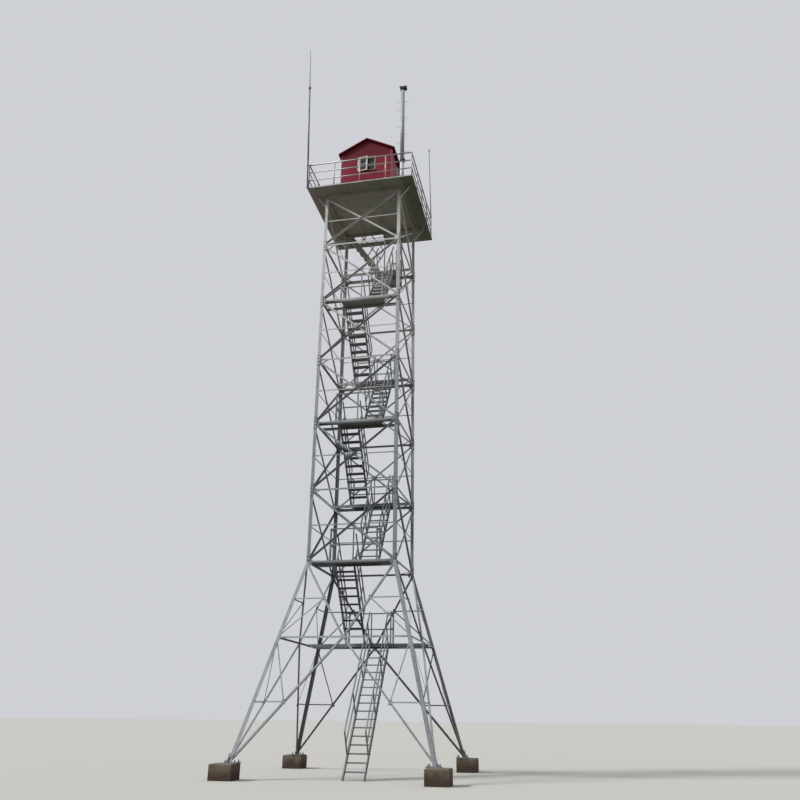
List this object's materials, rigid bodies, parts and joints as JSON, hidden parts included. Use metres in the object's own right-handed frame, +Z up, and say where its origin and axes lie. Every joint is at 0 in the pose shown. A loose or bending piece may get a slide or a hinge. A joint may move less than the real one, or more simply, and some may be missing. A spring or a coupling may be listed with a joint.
{
  "type": "guard tower",
  "caption": "Steel lattice watch tower on concrete footings, with zig-zag stairs inside, a railed platform, a small gabled hut, a camera mast and whip aerials.",
  "frame": {"origin": "on the ground at the centre of the four footings", "axes": "+Z up; -Y is the front, where the lowest flight starts; +X to the right seen from the front"},
  "size_m": [7.06, 7.06, 28.8088],
  "materials": {
    "galvanised_steel": "dull hot-dip galvanised",
    "concrete": "rough cast concrete stained by soil",
    "deck_plate": "weathered steel plate",
    "soffit_sheet": "olive painted sheet",
    "floor_board": "weathered board",
    "red_panel": "painted sandwich panel",
    "roof_panel": "painted sandwich panel",
    "door_paint": "painted steel",
    "white_frame": "white plastic profile",
    "window_glass": "dark glass",
    "mast_paint": "grey painted tube",
    "dark_housing": "dark housing"
  },
  "bodies": {
    "root": {"back_base_brace": "galvanised_steel", "back_lattice": "galvanised_steel", "back_waist_frame": "galvanised_steel", "camera_mast": "mast_paint", "concrete_piers": "concrete", "corner_aerial": "mast_paint", "corner_struts": "galvanised_steel", "deck_plates": "deck_plate", "door_frame": "white_frame", "flight_1": "galvanised_steel", "flight_2": "galvanised_steel", "flight_3": "galvanised_steel", "flight_4": "galvanised_steel", "flight_5": "galvanised_steel", "flight_6": "galvanised_steel", "flight_7": "galvanised_steel", "flight_8": "galvanised_steel", "front_base_brace": "galvanised_steel", "front_lattice": "galvanised_steel", "front_waist_frame": "galvanised_steel", "guard_rail": "galvanised_steel", "hut_back_wall": "red_panel", "hut_door": "door_paint", "hut_floor": "floor_board", "hut_front_wall": "red_panel", "hut_left_wall": "red_panel", "hut_right_wall": "red_panel", "hut_roof": "roof_panel", "knee_braces": "galvanised_steel", "landing_1": "galvanised_steel", "landing_2": "galvanised_steel", "landing_3": "galvanised_steel", "landing_4": "galvanised_steel", "landing_5": "galvanised_steel", "landing_6": "galvanised_steel", "landing_7": "galvanised_steel", "left_base_brace": "galvanised_steel", "left_lattice": "galvanised_steel", "left_waist_frame": "galvanised_steel", "lower_legs": "galvanised_steel", "main_beams": "soffit_sheet", "mast_camera": "dark_housing", "mast_lamp": "dark_housing", "platform_joists": "galvanised_steel", "platform_soffit": "soffit_sheet", "rear_whip": "mast_paint", "right_base_brace": "galvanised_steel", "right_lattice": "galvanised_steel", "right_waist_frame": "galvanised_steel", "upper_legs": "galvanised_steel", "window_frames": "white_frame", "window_panes": "window_glass"}
  },
  "joints": []
}
